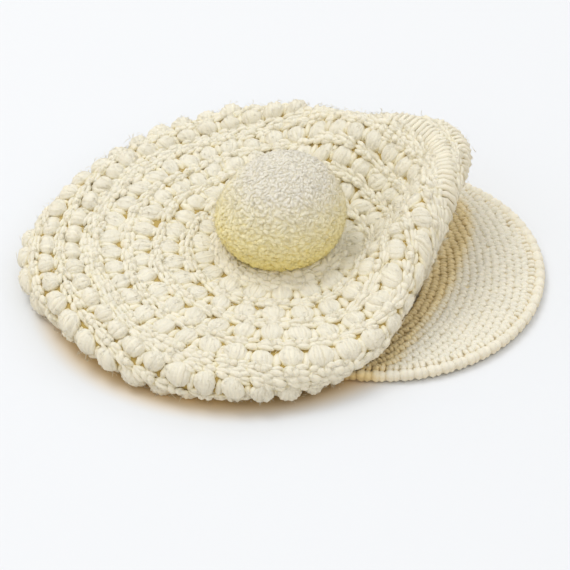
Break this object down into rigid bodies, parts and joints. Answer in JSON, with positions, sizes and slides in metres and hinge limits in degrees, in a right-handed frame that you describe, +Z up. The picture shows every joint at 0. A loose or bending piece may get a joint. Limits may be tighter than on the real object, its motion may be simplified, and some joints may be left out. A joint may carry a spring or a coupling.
{
  "type": "peaked crocheted tam o' shanter",
  "caption": "Soft round crocheted wool hat with bobbled crown, pompom on top, headband and a flat half-moon peak, lying crown up.",
  "frame": {"origin": "centre of the head opening, on the surface that the hat lies on", "axes": "+X towards the front, where the peak points; +Y to the wearer's left; +Z up through the pompom"},
  "size_m": [0.3066, 0.246, 0.0895],
  "materials": {
    "crown_wool": "thick cream wool, crocheted in rounds with bobbles",
    "band_wool": "cream wool in plain rounds",
    "peak_wool": "finer cream-grey wool in dense plain rows",
    "edging_wool": "cream-grey wool in fat overcast stitches",
    "pompom_wool": "cut cream wool, brushed soft"
  },
  "bodies": {
    "root": {"crown": "crown_wool", "headband": "band_wool", "peak": "peak_wool", "peak_edging": "edging_wool", "pompom": "pompom_wool"}
  },
  "joints": []
}
